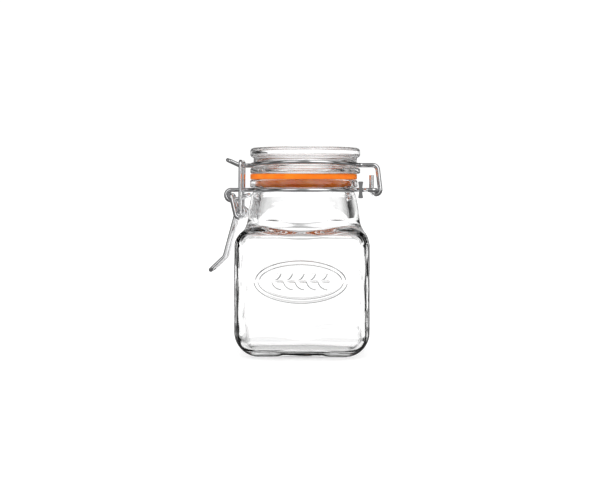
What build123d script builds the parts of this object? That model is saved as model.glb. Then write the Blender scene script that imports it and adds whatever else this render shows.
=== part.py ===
from build123d import *
import os
from math import asin, cos, radians, sin, sqrt, tan

# Bail clamp jar, millimetres. The origin is on the jar's axis, in the plane it stands on.
# +Z is up, the ornament is on the -Y face, the hinge is at +X and the latch at -X.

# --- jar -------------------------------------------------------------------------------
body_half = 25.2            # half the width of the square body
plan_corner = 9.8           # radius of the four upright edges
foot_radius = 9.4           # radius of the edges round the base
shoulder_z = 48.4           # height of the shoulder
shoulder_radius = 8.0
wall = 2.8                  # thickness of the four flat sides
# Radii of the cavity's edges, which run tighter than the outside's.
inner_corner, inner_foot, inner_shoulder = 5.6, 4.0, 4.0
floor_z = 3.2               # inside of the floor
pushup_radius = 13.0        # the hollow under the base
pushup_depth = 0.8
neck_root_radius = 21.6     # outside of the neck where it meets the shoulder
neck_top_radius = 19.9      # outside of the neck under the collar
neck_waist_radius, neck_waist_z = 21.0, 54.2    # a point of the neck's curved side
groove_radius = 19.35       # floor of the collar's groove
lip_radius = 20.55
lip_low_z = 63.0
lip_top_z = 65.9
seat_radius, seat_z = 18.5, 62.6    # rebate inside the lip, which holds the rubber ring
lip_round, lip_chamfer = 0.9, 0.4   # the lip's top and lower edges
groove_step = 0.9           # height of the groove below the collar's middle, and of its lower slope
groove_rise = 0.2           # how much lower the groove's upper slope is at its inner end
mouth_radius = 15.8
mouth_round = 0.4
mouth_depth = 1.5           # straight part of the mouth under the seat
neck_bore = 17.7            # inside of the neck at its root
bore_middle_radius, bore_middle_z = 17.1, 55.0  # a point of the bore's curved side
overlap = 5.0               # how far the neck and its bore run on into the body

# --- ornament --------------------------------------------------------------------------
ornament_z = 29.0
ornament_half_width = 17.0
ornament_half_height = 8.0
ornament_relief = 0.4
ornament_root = 0.6         # how far the relief reaches into the wall
stem_half = 10.5            # half the length of the sprig's stem
leaf_count = 5              # pairs of leaves
stem_width = 0.5
leaf_length, leaf_width, leaf_turn = 4.6, 1.7, 42
# Each frame line lies between two insets from the ornament's outline.
frame_lines = ((0, 0.6), (1.5, 1.95))

# --- lid and seal ----------------------------------------------------------------------
seal_skirt_z, seal_low_z, seal_top_z = 62.65, 66.0, 68.05
seal_radius, seal_skirt, seal_bore, seal_round = 20.35, 18.45, 16.3, 0.35
lid_x = 0.6                 # the lid sits a little towards the hinge
lid_low_z = 68.15           # underside of the lid's flange
lid_top_z = 78.0
flange_radius = 21.0
flange_top_z = 70.35
rim_low_z = 74.4
lid_groove_radius = 19.7
plug_radius, plug_bore, plug_low_z = 14.3, 12.0, 65.5
dome_z, dome_rise = 73.4, 2.6       # crown of the hollow under the lid, and its height
dish_radius, dish_z, dish_slope = 17.2, 76.6, 1.2
lid_draft = 0.1
# Radii of the lid section's corners: dish, rim, groove, flange, plug and hollow, in that order.
lid_rounds = [1.2, 0.7, 1.5, 1.2, 0.5, 0.5, 0.8, 0.8, 0.6, 0.7, 0.7, 2.4]

# --- wires -----------------------------------------------------------------------------
wire = 0.8                  # radius of the collar, lid and lever wires
link_wire = 0.65            # radius of the link's wire

collar_z = 62.0
collar_ring = groove_radius + wire + 0.05
hinge_x, hinge_z = 27.5, collar_z
hinge_half = 6.5            # half the width of the hinge crossbar
crossbar_bend, arm_bend = 1.3, 1.1
arm_spread = 0.6            # length along X in which the arms spread
tie_half = 2.2              # half the distance between the collar's arms in the tie
arm_x = 23.6                # where the arms spread behind the tie
tie_x = 21.75
tie_height = 3.2            # half the height of the tie
tie_end, tie_waist = 1.05, 0.62     # half its thickness at its ends and waist
tie_margin, tie_round = 1.5, 0.4

pivot_x, pivot_z = -27.4, 60.0      # lever pin, held in the collar's two loops
eye_y, eye_radius = 3.6, 2.0
loop_run = 0.9                      # how far the loop's lower run goes past the pin
return_x, return_z = -20.95, 60.1   # bar that closes the collar against the neck
loop_low_bend, return_bend = 1.6, 1.3

lid_ring = lid_groove_radius + wire + 0.1
lid_ring_z = 71.2           # at the hinge and the latch
lid_ring_rise = 1.1         # how much higher the ring is at the front and back
hook_y, hook_radius, hook_lean = 4.0, 2 * wire + 0.06, 7.0
stub_top_z = 67.6
tongue_y = 1.8
saddle_x = -24.3            # where the tongue turns up, just outside the link's bar
tongue_tip_x, tongue_tip_z = -28.9, 73.4
tongue_tip_bend, tongue_bend, hook_top_bend = 1.3, 2.5, 2.0

coil_x, coil_z = -23.8, 53.5        # link pin, held in the lever's two coils
coil_radius = 1.55
coil_sag, coil_exit_shift, coil_exit_drop = 0.6, 0.3, 1.0   # where the wire enters and leaves a coil
lever_y, coil_in_y = 5.6, 3.9       # lever legs outside the loops, and after the coil
pin_end_y = 1.5                     # inner end of each half of the lever's pin
elbow_x, elbow_z, elbow_y = -29.8, 36.7, 5.4
handle_x, handle_z, handle_y = -35.2, 31.6, 6.2
# Bend radii of the lever's wire: pin, four corners of the coil, its exit, elbow and handle.
lever_rounds = [1.0, 1.4, 1.45, 1.45, 1.2, 1.2, 3.0, 1.4]

link_y, link_end_y = 7.4, 2.5       # the link's legs, and the inner ends of its feet
link_low_bend, link_top_bend = 1.0, 1.3
link_bar_x, link_bar_z = -23.55, 72.85


def flare(ring, side, bend, end=1):
    """Turn a ring's wire outwards into a straight run at y = -side, towards +X or, with end -1, -X.

    Gives the point where the bend leaves the ring, its middle, and where it meets the run.
    """
    centre = Vector(sqrt((ring + bend) ** 2 - (side + bend) ** 2), -(side + bend))
    leave = centre * (ring / (ring + bend))
    meet = Vector(centre.X, -side)
    middle = centre + ((leave + meet) * 0.5 - centre).normalized() * bend
    return [(end * point.X, point.Y) for point in (leave, middle, meet)]


# --- glass jar -------------------------------------------------------------------------
bore_root_z = shoulder_z + 1
with BuildPart() as cavity:
    with BuildSketch(Plane.XY.offset(floor_z)):
        RectangleRounded(2 * (body_half - wall), 2 * (body_half - wall), inner_corner)
    extrude(amount=shoulder_z - wall - floor_z)
    fillet(cavity.faces().sort_by(Axis.Z)[0].edges(), inner_foot)
    fillet(cavity.faces().sort_by(Axis.Z)[-1].edges(), inner_shoulder)
    with BuildSketch(Plane.XZ):
        with BuildLine():
            Polyline(
                (seat_radius, seat_z), (seat_radius, lip_top_z + overlap),
                (0, lip_top_z + overlap), (0, shoulder_z - 2 * overlap),
                (neck_bore, shoulder_z - 2 * overlap), (neck_bore, bore_root_z),
            )
            Spline(
                (neck_bore, bore_root_z), (bore_middle_radius, bore_middle_z),
                (mouth_radius, seat_z - mouth_depth), tangents=((0, 1), (0, 1)),
            )
            Polyline(
                (mouth_radius, seat_z - mouth_depth), (mouth_radius, seat_z),
                (seat_radius, seat_z),
            )
        make_face()
    revolve(axis=Axis.Z)

neck_top_z = collar_z - 2 * groove_step
with BuildPart() as glass_jar:
    with BuildSketch():
        RectangleRounded(2 * body_half, 2 * body_half, plan_corner)
    extrude(amount=shoulder_z)
    fillet(glass_jar.faces().sort_by(Axis.Z)[0].edges(), foot_radius)
    fillet(glass_jar.faces().sort_by(Axis.Z)[-1].edges(), shoulder_radius)
    with BuildSketch(Plane.XZ):
        with BuildLine():
            Polyline(
                (neck_root_radius, shoulder_z), (neck_root_radius, shoulder_z - overlap),
                (0, shoulder_z - overlap), (0, lip_top_z), (lip_radius - lip_round, lip_top_z),
            )
            RadiusArc(
                (lip_radius - lip_round, lip_top_z), (lip_radius, lip_top_z - lip_round), lip_round
            )
            Polyline(
                (lip_radius, lip_top_z - lip_round), (lip_radius, lip_low_z + lip_chamfer),
                (lip_radius - lip_chamfer, lip_low_z), (groove_radius, lip_low_z - groove_rise),
                (groove_radius, collar_z - groove_step), (neck_top_radius, neck_top_z),
            )
            ThreePointArc(
                (neck_top_radius, neck_top_z), (neck_waist_radius, neck_waist_z),
                (neck_root_radius, shoulder_z),
            )
        make_face()
    revolve(axis=Axis.Z)
    add(cavity.part, mode=Mode.SUBTRACT)
    mouth_rim = glass_jar.faces().sort_by(Axis.Z)[-1].edges().sort_by(SortBy.RADIUS)[0]
    fillet(mouth_rim, mouth_round)
    pushup_sphere = (pushup_radius**2 + pushup_depth**2) / (2 * pushup_depth)
    with Locations((0, 0, pushup_depth - pushup_sphere)):
        Sphere(pushup_sphere, mode=Mode.SUBTRACT)
    ornament_plane = Plane(
        origin=(0, ornament_root - body_half, ornament_z), x_dir=(1, 0, 0), z_dir=(0, -1, 0)
    )
    with BuildSketch(ornament_plane):
        for outside, inside in frame_lines:
            Ellipse(ornament_half_width - outside, ornament_half_height - outside)
            Ellipse(
                ornament_half_width - inside, ornament_half_height - inside, mode=Mode.SUBTRACT
            )
        SlotOverall(2 * stem_half, stem_width)
        for step in range(leaf_count):
            x = (step - leaf_count / 2) * 2 * stem_half / leaf_count
            for turn in (leaf_turn, -leaf_turn):
                with BuildLine(Location((x, 0, 0), turn)):
                    ThreePointArc((0, 0), (leaf_length / 2, leaf_width / 2), (leaf_length, 0))
                    ThreePointArc((leaf_length, 0), (leaf_length / 2, -leaf_width / 2), (0, 0))
                make_face()
    extrude(amount=ornament_root + ornament_relief)

# --- collar wire: one half of it, from the hinge crossbar round to the latch, and its mirror
hinge_leave, hinge_middle, hinge_meet = flare(collar_ring, tie_half, 2 * wire)
latch_leave, latch_middle, latch_meet = flare(collar_ring, eye_y, 2.5 * wire, end=-1)
loop_bend = eye_radius - 0.03       # a little under the loop's half width, so that its corners fit
with BuildPart() as neck_wire:
    with BuildLine(Plane.XY.offset(collar_z)) as collar_path:
        FilletPolyline(
            (hinge_x, 0), (hinge_x, -hinge_half), (arm_x, -hinge_half),
            (arm_x - arm_spread, -tie_half), hinge_meet,
            radius=[crossbar_bend, arm_bend, arm_bend],
        )
        ThreePointArc(hinge_meet, hinge_middle, hinge_leave)
        ThreePointArc(hinge_leave, (0, -collar_ring), latch_leave)
        ThreePointArc(latch_leave, latch_middle, latch_meet)
    with BuildLine() as loop_path:
        FilletPolyline(
            (latch_meet[0], -eye_y, collar_z), (pivot_x - eye_radius, -eye_y, collar_z),
            (pivot_x - eye_radius, -eye_y, pivot_z - eye_radius),
            (pivot_x + loop_run, -eye_y, pivot_z - eye_radius), (return_x, -eye_y, return_z),
            (return_x, 0, return_z),
            radius=[loop_bend, loop_bend, loop_low_bend, return_bend],
        )
    with BuildSketch(Plane(origin=(hinge_x, 0, collar_z), z_dir=(0, -1, 0))):
        Circle(wire)
    sweep(path=Wire(collar_path.wire().edges() + loop_path.wire().edges()))
    mirror(about=Plane.XZ)

# --- clip that draws the collar tight: a waisted block crimped over the two arms ------------
with BuildPart() as neck_tie:
    with BuildSketch(Plane(origin=(tie_x, 0, collar_z), x_dir=(1, 0, 0), z_dir=(0, -1, 0))):
        with BuildLine():
            Line((-tie_end, -tie_height), (tie_end, -tie_height))
            ThreePointArc((tie_end, -tie_height), (tie_waist, 0), (tie_end, tie_height))
            Line((tie_end, tie_height), (-tie_end, tie_height))
            ThreePointArc((-tie_end, tie_height), (-tie_waist, 0), (-tie_end, -tie_height))
        make_face()
    extrude(amount=tie_half + tie_margin, both=True)
    fillet(neck_tie.edges().filter_by(Axis.Y), tie_round)

# --- rubber ring -----------------------------------------------------------------------
with BuildPart() as rubber_seal:
    with BuildSketch(Plane.XZ):
        with BuildLine():
            FilletPolyline(
                (seal_bore, seal_skirt_z), (seal_skirt, seal_skirt_z), (seal_skirt, seal_low_z),
                (seal_radius, seal_low_z), (seal_radius, seal_top_z), (seal_bore, seal_top_z),
                radius=seal_round, close=True,
            )
        make_face()
    revolve(axis=Axis.Z)

# --- glass lid -------------------------------------------------------------------------
with BuildPart() as glass_lid:
    with BuildSketch(Plane(origin=(lid_x, 0, 0), x_dir=(1, 0, 0), z_dir=(0, -1, 0))):
        with BuildLine():
            outline = FilletPolyline(
                (0, dish_z), (dish_radius, dish_z), (dish_radius + dish_slope, lid_top_z),
                (flange_radius, lid_top_z), (flange_radius, rim_low_z),
                (lid_groove_radius, rim_low_z - lid_draft),
                (lid_groove_radius, flange_top_z + lid_draft),
                (flange_radius, flange_top_z), (flange_radius, lid_low_z),
                (plug_radius, lid_low_z), (plug_radius, plug_low_z), (plug_bore, plug_low_z),
                (plug_bore, dome_z - dome_rise), (0, dome_z),
                radius=lid_rounds,
            )
            Line(outline @ 1, outline @ 0)
        make_face()
    revolve(axis=Axis((lid_x, 0, 0), (0, 0, 1)))

# --- lid wire: one half of it, from the tongue's tip round to the end of a hinge hook, and
# its mirror. The ring's half lies in a plane that rises from the hinge and latch to the front.
tilt = asin(lid_ring_rise / lid_ring)
ring_plane = Plane(
    origin=(lid_x, 0, lid_ring_z), x_dir=(1, 0, 0), z_dir=(0, sin(tilt), cos(tilt))
)
lean = radians(hook_lean)
hook_bend = hook_radius - 0.04      # a little under the hook's radius, so that its corners fit
hook_leave, hook_middle, hook_meet = flare(lid_ring, hook_y, 2.5 * wire)
tongue_leave, tongue_middle, tongue_meet = flare(lid_ring, tongue_y, 2.5 * wire, end=-1)
hook_start = ring_plane.from_local_coords(hook_meet)
tongue_start = ring_plane.from_local_coords(tongue_meet)
# The leg is tangent to the hook's circle, and leans towards the lid at its top.
leg_x = hinge_x + hook_radius * cos(lean)
leg_z = hinge_z + hook_radius * sin(lean)
leg_top_x = leg_x - (hook_start.Z - leg_z) * tan(lean)
leg_low_x = leg_x + (leg_z - hinge_z + hook_radius) * tan(lean)
with BuildPart() as lid_wire:
    with BuildLine() as tongue_path:
        FilletPolyline(
            (tongue_tip_x, 0, tongue_tip_z), (tongue_tip_x, tongue_start.Y, tongue_tip_z),
            (saddle_x, tongue_start.Y, tongue_start.Z), tongue_start,
            radius=[tongue_tip_bend, tongue_bend],
        )
    with BuildLine(ring_plane) as ring_path:
        ThreePointArc(tongue_meet, tongue_middle, tongue_leave)
        ThreePointArc(tongue_leave, (0, -lid_ring), hook_leave)
        ThreePointArc(hook_leave, hook_middle, hook_meet)
    with BuildLine() as hook_path:
        FilletPolyline(
            hook_start, (leg_top_x, hook_start.Y, hook_start.Z),
            (leg_low_x, hook_start.Y, hinge_z - hook_radius),
            (hinge_x - hook_radius, hook_start.Y, hinge_z - hook_radius),
            (hinge_x - hook_radius, hook_start.Y, stub_top_z),
            radius=[hook_top_bend, hook_bend, hook_bend],
        )
    with BuildSketch(Plane(origin=(tongue_tip_x, 0, tongue_tip_z), z_dir=(0, -1, 0))):
        Circle(wire)
    sweep(path=Wire(
        tongue_path.wire().edges() + ring_path.wire().edges() + hook_path.wire().edges()
    ))
    mirror(about=Plane.XZ)

# --- lever: one half of it, from the pin's end to the middle of the handle ------------------
coil_pitch = lever_y - coil_in_y
with BuildPart() as locking_lever:
    with BuildLine() as lever_path:
        FilletPolyline(
            (pivot_x, -pin_end_y, pivot_z), (pivot_x, -lever_y, pivot_z),
            (coil_x - coil_radius, -lever_y, coil_z - coil_radius - coil_sag),
            (coil_x + coil_radius, -lever_y + coil_pitch / 4, coil_z - coil_radius),
            (coil_x + coil_radius, -lever_y + coil_pitch / 2, coil_z + coil_radius),
            (coil_x - coil_radius, -coil_in_y - coil_pitch / 8, coil_z + coil_radius),
            (coil_x - coil_radius - coil_exit_shift, -coil_in_y, coil_z - coil_exit_drop),
            (elbow_x, -elbow_y, elbow_z),
            (handle_x, -handle_y, handle_z), (handle_x, 0, handle_z),
            radius=lever_rounds,
        )
    with BuildSketch(Plane(origin=(pivot_x, -pin_end_y, pivot_z), z_dir=(0, -1, 0))):
        Circle(wire)
    sweep()
    mirror(about=Plane.XZ)

# --- link ------------------------------------------------------------------------------
with BuildPart() as bail_link:
    with BuildLine() as link_path:
        FilletPolyline(
            (coil_x, -link_end_y, coil_z), (coil_x, -link_y, coil_z),
            (link_bar_x, -link_y, link_bar_z), (link_bar_x, 0, link_bar_z),
            radius=[link_low_bend, link_top_bend],
        )
    with BuildSketch(Plane(origin=(coil_x, -link_end_y, coil_z), z_dir=(0, -1, 0))):
        Circle(link_wire)
    sweep()
    mirror(about=Plane.XZ)

pieces = {
    "glass_jar": glass_jar, "neck_wire": neck_wire, "neck_tie": neck_tie,
    "rubber_seal": rubber_seal, "glass_lid": glass_lid, "lid_wire": lid_wire,
    "locking_lever": locking_lever, "bail_link": bail_link,
}
os.makedirs("parts", exist_ok=True)
for name, piece in pieces.items():
    piece.part.label = name
    export_step(piece.part, f"parts/{name}.step")
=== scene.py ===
from math import cos, pi, radians, sin

import bpy
import numpy as np
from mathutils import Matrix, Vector


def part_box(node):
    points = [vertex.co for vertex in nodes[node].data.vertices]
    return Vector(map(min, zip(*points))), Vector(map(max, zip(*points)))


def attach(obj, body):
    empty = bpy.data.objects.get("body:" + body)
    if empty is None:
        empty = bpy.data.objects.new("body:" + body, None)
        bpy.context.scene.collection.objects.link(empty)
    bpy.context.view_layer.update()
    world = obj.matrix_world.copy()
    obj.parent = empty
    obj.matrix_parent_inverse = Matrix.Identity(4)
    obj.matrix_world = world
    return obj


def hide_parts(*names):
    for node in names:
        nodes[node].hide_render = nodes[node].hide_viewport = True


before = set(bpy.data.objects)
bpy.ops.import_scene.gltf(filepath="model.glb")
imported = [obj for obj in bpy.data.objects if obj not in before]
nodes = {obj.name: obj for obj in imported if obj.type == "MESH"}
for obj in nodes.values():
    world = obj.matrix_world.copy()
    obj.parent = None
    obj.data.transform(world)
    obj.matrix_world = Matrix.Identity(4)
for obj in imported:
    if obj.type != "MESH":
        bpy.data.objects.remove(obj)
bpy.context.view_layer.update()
scene = bpy.context.scene

# ---------------------------------------------------------------- camera and light settings
camera_azimuth = radians(2.5)       # the camera stands a little towards the hinge
camera_distance = 0.463             # from the jar's axis
camera_height = 0.0639
camera_lens = 72.6
aim_height = 0.0390
aim_side = -0.0014                  # the jar stands a little right of the picture's middle
tent_strength = 1.06
# What shows through the glass, by direction: (degrees from the front, light), left and right
tent_left = ((180, 1.0), (171, 1.0), (162, 0.72), (152, 0.42), (104, 0.42), (96, 1.0),
             (84, 1.0), (76, 0.35), (60, 0.35), (48, 1.0), (42, 1.0), (34, 0.06))
tent_right = ((180, 1.0), (171, 1.0), (158, 0.6), (146, 0.15), (136, 0.03), (101, 0.03),
              (95, 0.9), (85, 0.9), (79, 0.03), (56, 0.03), (46, 1.0), (40, 1.0), (32, 0.06))
# And by height: (sine of elevation, light)
tent_levels = ((0.0, 1.0), (0.13, 1.0), (0.22, 0.05), (0.62, 0.05), (0.76, 1.0), (1.0, 1.0))
# The share of that darkness by height which is left, by direction as above
level_left = ((180, 0.62), (168, 0.62), (152, 1.0), (0, 1.0))
# What mirrors in the wires, by direction from the front and by height
mirror_left = ((180, 0.8), (170, 0.6), (160, 0.03), (104, 0.03), (97, 0.5), (83, 0.5), (76, 0.03),
               (52, 0.03), (42, 0.95), (20, 0.95), (8, 0.3))
mirror_right = ((180, 0.8), (170, 0.6), (160, 0.03), (104, 0.03), (97, 0.5), (83, 0.5), (76, 0.03),
                (66, 0.03), (56, 1.4), (18, 1.4), (8, 0.3))
mirror_levels = ((0.0, 1.0), (0.86, 1.0), (0.97, 0.10), (1.0, 0.10))
floor_glow, floor_mirror = 0.62, 0.10   # the floor's own light, and its share in mirrors
floor_shade, floor_reach, floor_drop = 0.6, 12.0, 0.0002    # colour, half width, depth in metres
light_bounces, mirror_bounces, clear_bounces = 24, 9, 16    # 9 gives outlines as dark as wanted

# ---------------------------------------------------------------- glass, in millimetres
body_half, jar_top = 1000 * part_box("glass_jar")[1][0], 1000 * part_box("glass_jar")[1][2]
plan_corner, foot_round, shoulder_round = 9.8, 9.4, 8.0
shoulder_z, wall, floor_z = 48.4, 2.8, 3.2
inner_corner, inner_foot, inner_shoulder = 5.6, 4.0, 4.0
pushup_radius, pushup_depth = 13.0, 0.8
neck_curve = np.polyfit((48.4, 54.2, 60.2), (21.6, 21.0, 19.9), 2)     # radius by height
bore_curve = np.polyfit((49.4, 55.0, 61.1), (17.7, 17.1, 15.8), 2)
neck_blend, bore_blend = 3.2, 4.0   # how far the neck melts into the shoulder
sight_z = 38.0                      # a height from which the whole shoulder is in sight
neck_from_z = 56.0                  # above it the jar is round
ornament_z, ornament_half = 29.0, (17.0, 8.0)
frame_lines = ((0, 0.6), (1.5, 1.95))
stem_half, stem_width = 10.5, 0.5
leaf_count, leaf_length, leaf_width, leaf_turn = 5, 4.6, 1.7, 42
relief, relief_slope = 0.6, 0.5
front_step, front_reach = 0.15, 17.6    # fine columns under the ornament
outer_wave, inner_wave, lid_wave = 0.03, 0.20, 0.10     # unevenness of the glass
bump_height = 0.00006               # of the finer unevenness, in metres
pole_radius = 1.5                   # of the smallest ring round the middle of a floor or base
ornament_margin = 0.4               # how far the fine rows go past the ornament
lid_sides = 240                     # points round the lid
floor_crown = 0.5                   # rise of the inside of the floor
# Radius and height along the collar groove, lip and mouth, and the radii of their corners
neck_points = (
    (np.polyval(neck_curve, neck_from_z + 0.5), neck_from_z + 0.5), (19.9, 60.2), (19.35, 61.1),
    (19.35, 62.8), (20.15, 63.0), (20.55, 63.4), (20.55, jar_top), (18.5, jar_top), (18.5, 62.6),
    (15.8, 62.6), (np.polyval(bore_curve, 61.1), 61.1),
)
neck_rounds = (0.8, 0.5, 0.1, 0.2, 0.2, 0.9, 0.4, 0.3, 0.4)
# The lid, from the middle of its underside out and up to the middle of its top
lid_x, lid_low, lid_top = 0.6, 1000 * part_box("glass_lid")[0][2], 1000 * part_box("glass_lid")[1][2]
lid_points = (
    (0.3, 73.4), (12.0, 70.8), (12.0, lid_low), (14.3, lid_low), (14.3, 68.15), (21.0, 68.15),
    (21.0, 70.35), (19.7, 70.45), (19.7, 74.3), (21.0, 74.4), (21.0, lid_top), (18.4, lid_top),
    (17.2, 76.6), (0.3, 76.6),
)
lid_rounds = (2.4, 0.7, 0.7, 0.6, 0.8, 0.8, 0.5, 0.5, 1.2, 1.5, 0.7, 1.2)


def link(obj):
    scene.collection.objects.link(obj)
    return obj


def make_camera():
    data = bpy.data.cameras.new("camera")
    data.lens = camera_lens
    data.clip_start, data.clip_end = 0.01, 50
    cam = link(bpy.data.objects.new("camera", data))
    side = Vector((cos(camera_azimuth), sin(camera_azimuth), 0))
    back = Vector((sin(camera_azimuth), -cos(camera_azimuth), 0))
    cam.location = back * camera_distance + Vector((0, 0, camera_height))
    aim = side * aim_side + Vector((0, 0, aim_height))
    cam.rotation_euler = (aim - cam.location).to_track_quat("-Z", "Y").to_euler()
    scene.camera = cam


# ---------------------------------------------------------------- materials
def new_material(name):
    mat = bpy.data.materials.new(name)
    mat.use_nodes = True
    return mat, mat.node_tree.nodes, mat.node_tree.links, mat.node_tree.nodes["Principled BSDF"]


def noise(tree, scale, detail, stretch=(1, 1, 1)):
    """A noise texture over the object's own coordinates, in the row's metres."""
    place = tree.nodes.new("ShaderNodeTexCoord")
    mapping = tree.nodes.new("ShaderNodeMapping")
    mapping.inputs["Scale"].default_value = stretch
    texture = tree.nodes.new("ShaderNodeTexNoise")
    texture.inputs["Scale"].default_value = scale
    texture.inputs["Detail"].default_value = detail
    tree.links.new(place.outputs["Object"], mapping.inputs["Vector"])
    tree.links.new(mapping.outputs["Vector"], texture.inputs["Vector"])
    return texture


def bump(tree, height, distance, strength, normal=None):
    node = tree.nodes.new("ShaderNodeBump")
    node.inputs["Distance"].default_value = distance
    node.inputs["Strength"].default_value = strength
    tree.links.new(height, node.inputs["Height"])
    if normal is not None:
        tree.links.new(normal, node.inputs["Normal"])
    return node.outputs["Normal"]


def ranged(tree, value, low, high):
    """The value, from its middle range, spread from low to high."""
    node = tree.nodes.new("ShaderNodeMapRange")
    node.inputs["From Min"].default_value = 0.3
    node.inputs["From Max"].default_value = 0.7
    node.inputs["To Min"].default_value = low
    node.inputs["To Max"].default_value = high
    tree.links.new(value, node.inputs["Value"])
    return node.outputs["Result"]


def glass(name, wave_height):
    """Clear pressed glass: slow waves from the mould, and a fine fire-polished unevenness."""
    mat, made, links, shader = new_material(name)
    tree = mat.node_tree
    shader.inputs["Base Color"].default_value = (1, 1, 1, 1)
    shader.inputs["Transmission Weight"].default_value = 1
    shader.inputs["IOR"].default_value = 1.52
    slow = noise(tree, 110, 1.0)
    fine = noise(tree, 520, 2.0)
    normal = bump(tree, slow.outputs["Fac"], wave_height, 1.0)
    normal = bump(tree, fine.outputs["Fac"], wave_height * 0.08, 1.0, normal)
    links.new(normal, shader.inputs["Normal"])
    links.new(ranged(tree, fine.outputs["Fac"], 0.0, 0.03), shader.inputs["Roughness"])
    return mat


def rubber(name):
    """Orange moulded rubber with a faint mottle and a matt, finely pitted surface."""
    mat, made, links, shader = new_material(name)
    tree = mat.node_tree
    mottle = noise(tree, 260, 3.0)
    grain = noise(tree, 2600, 2.0)
    ramp = made.new("ShaderNodeValToRGB")
    ramp.color_ramp.elements[0].position = 0.3
    ramp.color_ramp.elements[0].color = (0.93, 0.17, 0.004, 1)
    ramp.color_ramp.elements[1].position = 0.7
    ramp.color_ramp.elements[1].color = (1.0, 0.26, 0.010, 1)
    links.new(mottle.outputs["Fac"], ramp.inputs["Fac"])
    links.new(ramp.outputs["Color"], shader.inputs["Base Color"])
    links.new(ranged(tree, grain.outputs["Fac"], 0.42, 0.6), shader.inputs["Roughness"])
    links.new(bump(tree, grain.outputs["Fac"], 0.00002, 1.0), shader.inputs["Normal"])
    shader.inputs["Specular IOR Level"].default_value = 0.2
    shader.inputs["Subsurface Weight"].default_value = 0.15
    shader.inputs["Subsurface Radius"].default_value = (0.002, 0.0006, 0.0002)
    return mat


def steel(name, shade=1.0):
    """Bright drawn stainless wire: fine draw marks, and a slightly uneven polish."""
    mat, made, links, shader = new_material(name)
    tree = mat.node_tree
    shader.inputs["Metallic"].default_value = 1
    polish = noise(tree, 420, 3.0)
    marks = noise(tree, 3200, 2.0)
    ramp = made.new("ShaderNodeValToRGB")
    ramp.color_ramp.elements[0].color = (0.72 * shade, 0.72 * shade, 0.73 * shade, 1)
    ramp.color_ramp.elements[1].color = (0.90 * shade, 0.90 * shade, 0.91 * shade, 1)
    links.new(polish.outputs["Fac"], ramp.inputs["Fac"])
    links.new(ramp.outputs["Color"], shader.inputs["Base Color"])
    links.new(ranged(tree, polish.outputs["Fac"], 0.08, 0.18), shader.inputs["Roughness"])
    links.new(bump(tree, marks.outputs["Fac"], 0.000012, 1.0), shader.inputs["Normal"])
    return mat


# ---------------------------------------------------------------- studio
def math_node(tree, operation, *values):
    node = tree.nodes.new("ShaderNodeMath")
    node.operation = operation
    for socket, value in zip(node.inputs, values):
        if isinstance(value, float):
            socket.default_value = value
        else:
            tree.links.new(value, socket)
    return node.outputs["Value"]


def ramp_node(tree, value, stops):
    node = tree.nodes.new("ShaderNodeValToRGB")
    node.color_ramp.interpolation = "EASE"
    made = node.color_ramp.elements
    made.remove(made[1])
    made[0].position = stops[0][0]
    made[0].color = (stops[0][1],) * 3 + (1,)
    for place, light in stops[1:]:
        made.new(place).color = (light,) * 3 + (1,)
    tree.links.new(value, node.inputs["Fac"])
    return node.outputs["Color"]


def both_sides(left, right):
    """Ramp stops for a whole turn, from lists that go from the back to the front."""
    stops = [(0.5 - angle / 360, light) for angle, light in left]
    return stops + [(0.5 + angle / 360, light) for angle, light in reversed(right)]


def mixed(tree, share, off, on):
    node = tree.nodes.new("ShaderNodeMix")
    for name, value in (("Factor", share), ("A", off), ("B", on)):
        if isinstance(value, float):
            node.inputs[name].default_value = value
        else:
            tree.links.new(value, node.inputs[name])
    return node.outputs["Result"]


def make_world():
    """White light, tuned by eye, which differs by kind of ray. The camera sees plain white.
    Through glass it is a tent with soft dark gaps: upright ones to the sides, one round the
    front and a level one above the horizon. The wires mirror soft boxes in a dark room."""
    world = bpy.data.worlds.new("studio")
    world.use_nodes = True
    tree = world.node_tree
    place = tree.nodes.new("ShaderNodeTexCoord")
    split = tree.nodes.new("ShaderNodeSeparateXYZ")
    tree.links.new(place.outputs["Generated"], split.inputs["Vector"])
    towards_front = math_node(tree, "MULTIPLY", split.outputs["Y"], -1.0)
    turn = math_node(tree, "ARCTAN2", split.outputs["X"], towards_front)
    turn = math_node(tree, "MULTIPLY_ADD", turn, 0.5 / pi, 0.5)
    around = ramp_node(tree, turn, both_sides(tent_left, tent_right))
    levels = ramp_node(tree, split.outputs["Z"], tent_levels)
    left = ramp_node(tree, turn, both_sides(level_left, level_left))
    levels = mixed(tree, left, 1.0, levels)
    overhead = math_node(tree, "GREATER_THAN", split.outputs["Z"], tent_levels[-3][0])
    tent = math_node(tree, "MULTIPLY", math_node(tree, "MAXIMUM", around, overhead), levels)
    room = math_node(tree, "MULTIPLY",
                     ramp_node(tree, turn, both_sides(mirror_left, mirror_right)),
                     ramp_node(tree, split.outputs["Z"], mirror_levels))
    seen = tree.nodes.new("ShaderNodeLightPath")
    light = mixed(tree, seen.outputs["Is Glossy Ray"], 1.0, room)
    light = mixed(tree, seen.outputs["Is Transmission Ray"], light, tent)
    strength = math_node(tree, "MULTIPLY", light, tent_strength)
    tree.links.new(strength, tree.nodes["Background"].inputs["Strength"])
    tree.nodes["Background"].inputs["Color"].default_value = (1, 1, 1, 1)
    scene.world = world


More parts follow.
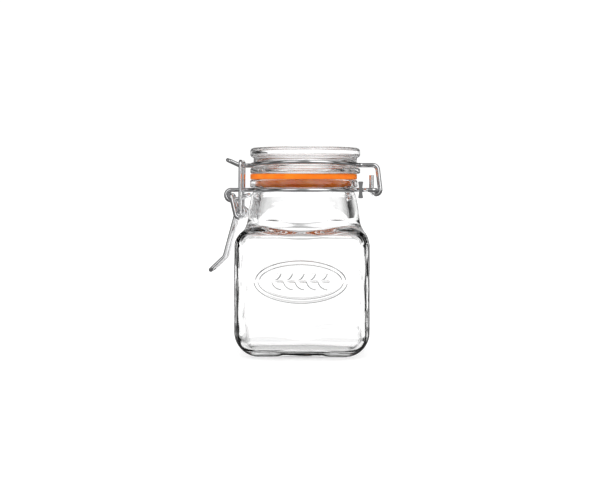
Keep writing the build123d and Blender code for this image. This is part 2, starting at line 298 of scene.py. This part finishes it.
def floor_white():
    """A matt white table that glows a little, and is darker where the wires mirror it."""
    mat, made, links, shader = new_material("floor_white")
    tree = mat.node_tree
    seen = made.new("ShaderNodeLightPath")
    through = math_node(tree, "SUBTRACT", 1.0, seen.outputs["Is Transmission Ray"])
    mirrored = math_node(tree, "MULTIPLY", seen.outputs["Is Glossy Ray"], through)
    share = mixed(tree, mirrored, 1.0, floor_mirror)
    links.new(math_node(tree, "MULTIPLY", share, floor_shade), shader.inputs["Base Color"])
    links.new(math_node(tree, "MULTIPLY", share, floor_glow), shader.inputs["Emission Strength"])
    shader.inputs["Emission Color"].default_value = (1, 1, 1, 1)
    shader.inputs["Roughness"].default_value = 0.9
    return mat


def make_floor():
    mesh = bpy.data.meshes.new("floor")
    corners = [(x * floor_reach, y * floor_reach, 0) for x, y in ((-1, -1), (1, -1), (1, 1), (-1, 1))]
    mesh.from_pydata(corners, [], [(0, 1, 2, 3)])
    mesh.materials.append(floor_white())
    floor = link(bpy.data.objects.new("floor", mesh))
    floor.location.z = -floor_drop


# ---------------------------------------------------------------- jar and lid shapes
def plan_distance(x, y, half, corner):
    """Signed distance from a rounded square, seen from above."""
    out_x, out_y = np.abs(x) - (half - corner), np.abs(y) - (half - corner)
    beyond = np.hypot(np.maximum(out_x, 0), np.maximum(out_y, 0))
    return beyond + np.minimum(np.maximum(out_x, out_y), 0) - corner


def box_distance(x, y, z, half, low, high, corner, low_round, high_round):
    """Signed distance from a rounded square box."""
    upper = z > (low + high) / 2
    rounding = np.where(upper, high_round, low_round)
    side = plan_distance(x, y, half, corner) + rounding
    end = np.where(upper, z - high, low - z) + rounding
    beyond = np.hypot(np.maximum(side, 0), np.maximum(end, 0))
    return beyond + np.minimum(np.maximum(side, end), 0) - rounding


def melt(a, b, reach):
    """The union of two shapes given by their distances, with a soft corner between them."""
    near = np.maximum(reach - np.abs(a - b), 0) / reach
    return np.minimum(a, b) - near**2 * reach / 4


def outside_distance(x, y, z):
    body = box_distance(x, y, z, body_half, 0, shoulder_z, plan_corner, foot_round, shoulder_round)
    return melt(body, np.hypot(x, y) - np.polyval(neck_curve, z), neck_blend)


def inside_distance(x, y, z):
    body = box_distance(x, y, z, body_half - wall, floor_z, shoulder_z - wall,
                        inner_corner, inner_foot, inner_shoulder)
    return melt(body, np.hypot(x, y) - np.polyval(bore_curve, z), bore_blend)


def plan_columns():
    """Anchors and normals round the rounded square, anticlockwise from the front's left end."""
    flat = body_half - plan_corner
    fine = np.arange(-front_reach, front_reach + front_step / 2, front_step)
    start = np.arcsin((front_reach - flat + front_step) / plan_corner)
    rows = []
    for x in fine:
        lean = np.arcsin(np.clip((abs(x) - flat) / plan_corner, 0, 1)) * np.sign(x)
        rows.append((np.clip(x, -flat, flat), -flat, np.sin(lean), -np.cos(lean)))
    for side in range(4):
        turn = side * pi / 2
        first, last = (start if side == 0 else 0), (pi / 2 - start if side == 3 else pi / 2)
        corner = np.array((flat, -flat))
        spin = np.array(((cos(turn), -sin(turn)), (sin(turn), cos(turn))))
        for angle in np.linspace(first, last, 26):
            rows.append((*(spin @ corner), *(spin @ (np.sin(angle), -np.cos(angle)))))
        if side < 3:
            for x in np.linspace(-flat, flat, 34)[1:-1]:
                rows.append((*(spin @ (flat, x)), *(spin @ (1.0, 0.0))))
    return np.array(rows).T


def waves(turn, z, height):
    """Slow unevenness of pressed glass, from a few sine waves."""
    total = np.sin(3 * turn + 0.19 * z) + np.sin(5 * turn - 0.33 * z + 1.0)
    total = total + np.sin(8 * turn + 0.47 * z + 2.2) + 0.8 * np.sin(0.61 * z - 2 * turn + 0.6)
    return height * total / 3.8


def ornament_height(x, z):
    """A double oval with a leafy sprig in it, raised with sloping sides."""
    distance = np.full(np.shape(x), 99.0)
    for outside, inside in frame_lines:
        edges = []
        for inset in (outside, inside):
            wide, high = ornament_half[0] - inset, ornament_half[1] - inset
            size = np.hypot(x / wide, z / high)
            slope = np.hypot(x / wide**2, z / high**2) + 1e-9
            edges.append(size * (size - 1) / slope)
        distance = np.minimum(distance, np.maximum(edges[0], -edges[1]))
    stem = np.hypot(np.maximum(np.abs(x) - stem_half + stem_width / 2, 0), z) - stem_width / 2
    distance = np.minimum(distance, stem)
    bow = (leaf_length**2 / 4 + leaf_width**2 / 4) / leaf_width
    for step in range(leaf_count):
        root = (step - leaf_count / 2) * 2 * stem_half / leaf_count
        for turn in (radians(leaf_turn), -radians(leaf_turn)):
            along = (x - root) * cos(turn) + z * sin(turn) - leaf_length / 2
            across = z * cos(turn) - (x - root) * sin(turn)
            leaf = np.hypot(along, np.abs(across) + bow - leaf_width / 2) - bow
            distance = np.minimum(distance, leaf)
    share = np.clip(0.5 - distance / relief_slope, 0, 1)
    return relief * share**2 * (3 - 2 * share)


def rounded(points, radii):
    """Points along a line through the given points, with its inner corners rounded."""
    line = [np.array(points[0], float)]
    for before, here, after, radius in zip(points, points[1:], points[2:], radii):
        here = np.array(here, float)
        back, on = np.array(before) - here, np.array(after) - here
        back, on = back / np.hypot(*back), on / np.hypot(*on)
        half = np.arccos(np.clip(back @ on, -1, 1)) / 2
        reach, middle = radius / np.tan(half), (back + on) / np.hypot(*(back + on))
        centre = here + middle * radius / np.sin(half)
        first, last = here + back * reach - centre, here + on * reach - centre
        for share in np.linspace(0, 1, 8):
            spoke = first * (1 - share) + last * share
            line.append(centre + spoke * radius / np.hypot(*spoke))
    line.append(np.array(points[-1], float))
    return line


def spread(line, step):
    """The same line with no stretch longer than the step."""
    out = [line[0]]
    for start, end in zip(line, line[1:]):
        count = max(1, int(np.ceil(np.hypot(*(end - start)) / step)))
        out += [start + (end - start) * k / count for k in range(1, count + 1)]
    return out


def ring_mesh(name, rings, low_pole, high_pole):
    """A closed mesh from rings of points, with a pole at each end, turned into metres."""
    count = len(rings[0])
    points = [tuple(p) for ring in rings for p in ring] + [low_pole, high_pole]
    faces = []
    for row in range(len(rings) - 1):
        for col in range(count):
            after = (col + 1) % count
            faces.append((row * count + col, row * count + after,
                          (row + 1) * count + after, (row + 1) * count + col))
    low, high, top = len(points) - 2, len(points) - 1, (len(rings) - 1) * count
    for col in range(count):
        after = (col + 1) % count
        faces.append((low, after, col))
        faces.append((top + col, top + after, high))
    mesh = bpy.data.meshes.new(name)
    mesh.from_pydata((np.array(points) * 0.001).tolist(), [], faces)
    mesh.polygons.foreach_set("use_smooth", [True] * len(faces))
    mesh.update()
    return link(bpy.data.objects.new(name, mesh))


def sight_rings(turn, distance, low_rz, high_rz, count):
    """Rings up or down a shape, found along sight lines from a point on the jar's axis."""
    first = np.arctan2(low_rz[1] - sight_z, low_rz[0])
    last = np.arctan2(high_rz[1] - sight_z, high_rz[0])
    rings = []
    for share in np.linspace(0, 1, count)[1:]:
        rise = first * (1 - share) + last * share
        near, far = np.zeros_like(turn), np.full_like(turn, 60.0)
        for halving in range(34):
            reach = (near + far) / 2
            flat = reach * np.cos(rise)
            x, y, z = flat * np.cos(turn), flat * np.sin(turn), sight_z + reach * np.sin(rise)
            inside = distance(x, y, z) < 0
            near, far = np.where(inside, reach, near), np.where(inside, far, reach)
        rings.append(np.stack((x, y, z), 1))
    return rings


def make_jar():
    anchor_x, anchor_y, normal_x, normal_y = plan_columns()
    turn = np.arctan2(anchor_y + normal_y * plan_corner, anchor_x + normal_x * plan_corner)

    def square_ring(half, corner, z, wave=0.0):
        size, out = (half - corner) / (body_half - plan_corner), corner + waves(turn, z, wave)
        return np.stack((size * anchor_x + normal_x * out, size * anchor_y + normal_y * out,
                         np.full_like(turn, z)), 1)

    def round_ring(radius, z, wave=0.0):
        out = radius + waves(turn, z, wave)
        return np.stack((out * np.cos(turn), out * np.sin(turn), np.full_like(turn, z)), 1)

    def pushup(radius):
        return pushup_depth * (1 - (radius / pushup_radius) ** 2)

    rings = [round_ring(r, pushup(r)) for r in np.linspace(pole_radius, pushup_radius, 8)]
    for angle in np.linspace(0, pi / 2, 20):
        inset = foot_round * (1 - sin(angle))
        rings.append(square_ring(body_half - inset, plan_corner - inset,
                                 foot_round * (1 - cos(angle))))
    # The outer wall, in fine rows where the ornament is
    wall_top = shoulder_z - shoulder_round
    fine_low, fine_high = (ornament_z + side * (ornament_half[1] + ornament_margin) for side in (-1, 1))
    heights = np.concatenate((
        np.linspace(foot_round, fine_low, 12)[1:-1], np.arange(fine_low, fine_high, front_step),
        np.linspace(fine_high, wall_top, 3)[1:],
    ))
    for z in heights:
        ring = square_ring(body_half, plan_corner, z, outer_wave)
        front = (normal_y < -0.9) & (np.abs(ring[:, 0]) < front_reach)
        ring[front, 1] -= ornament_height(ring[front, 0], z - ornament_z)
        rings.append(ring)
    # The shoulder, up to where the jar is round
    rings += sight_rings(turn, outside_distance,
                         (np.hypot(rings[-1][:, 0], rings[-1][:, 1]), wall_top),
                         (np.polyval(neck_curve, neck_from_z), neck_from_z), 56)
    # The neck, collar groove and lip, over the rim and down to the bore
    profile = spread(rounded(neck_points, neck_rounds), 0.8)
    rings += [round_ring(r, z) for r, z in profile]
    bore_heights = np.linspace(profile[-1][1], neck_from_z - 1, 10)[1:]
    rings += [round_ring(np.polyval(bore_curve, z), z) for z in bore_heights]
    inner_half, inner_top = body_half - wall, shoulder_z - wall - inner_shoulder
    inner_wall = square_ring(inner_half, inner_corner, inner_top, inner_wave)
    rings += sight_rings(turn, inside_distance,
                         (np.polyval(bore_curve, bore_heights[-1]), bore_heights[-1]),
                         (np.hypot(inner_wall[:, 0], inner_wall[:, 1]), inner_top), 48)[:-1]
    rings += [square_ring(inner_half, inner_corner, z, inner_wave)
              for z in np.linspace(inner_top, floor_z + inner_foot, 40)]
    for angle in np.linspace(pi / 2, 0, 18)[1:]:
        inset = inner_foot * (1 - sin(angle))
        rings.append(square_ring(inner_half - inset, inner_corner - inset,
                                 floor_z + inner_foot * (1 - cos(angle)), inner_wave * sin(angle)))
    rings += [round_ring(r, floor_z + floor_crown * (1 - (r / pushup_radius) ** 2))
              for r in np.linspace(pushup_radius, pole_radius, 8)]
    jar = ring_mesh("jar_shell", rings, (0, 0, pushup_depth), (0, 0, floor_z + floor_crown))
    jar.data.materials.append(glass("jar_glass", bump_height))
    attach(jar, "jar")
    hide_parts("glass_jar")
    return jar


def make_lid():
    turn = np.linspace(0, 2 * pi, lid_sides, endpoint=False)
    profile = spread(rounded(lid_points, lid_rounds), 0.7)
    rings = []
    for radius, z in profile:
        out = radius + waves(turn, 2 * z, lid_wave * min(1, radius / 10))
        rings.append(np.stack((lid_x + out * np.cos(turn), out * np.sin(turn),
                               np.full_like(turn, z)), 1))
    lid = ring_mesh("lid_glass", rings, (lid_x, 0, lid_points[0][1]), (lid_x, 0, lid_points[-1][1]))
    lid.data.materials.append(glass("lid_glass", bump_height))
    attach(lid, "lid")
    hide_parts("glass_lid")
    return lid


# ---------------------------------------------------------------- the object
def finish_nodes():
    """The rubber ring and the wires keep their CAD shape and get their materials."""
    looks = {"rubber_seal": rubber("seal_rubber"), "neck_tie": steel("tie_steel", 0.85),
             "wire": steel("wire")}
    for name, obj in nodes.items():
        obj.data.materials.clear()
        obj.data.materials.append(looks.get(name, looks["wire"]))


make_camera()
make_world()
make_floor()
make_jar()
make_lid()
finish_nodes()
scene.view_settings.view_transform = "Standard"
scene.cycles.max_bounces = light_bounces
scene.cycles.transmission_bounces = light_bounces
scene.cycles.glossy_bounces = mirror_bounces
scene.cycles.transparent_max_bounces = clear_bounces
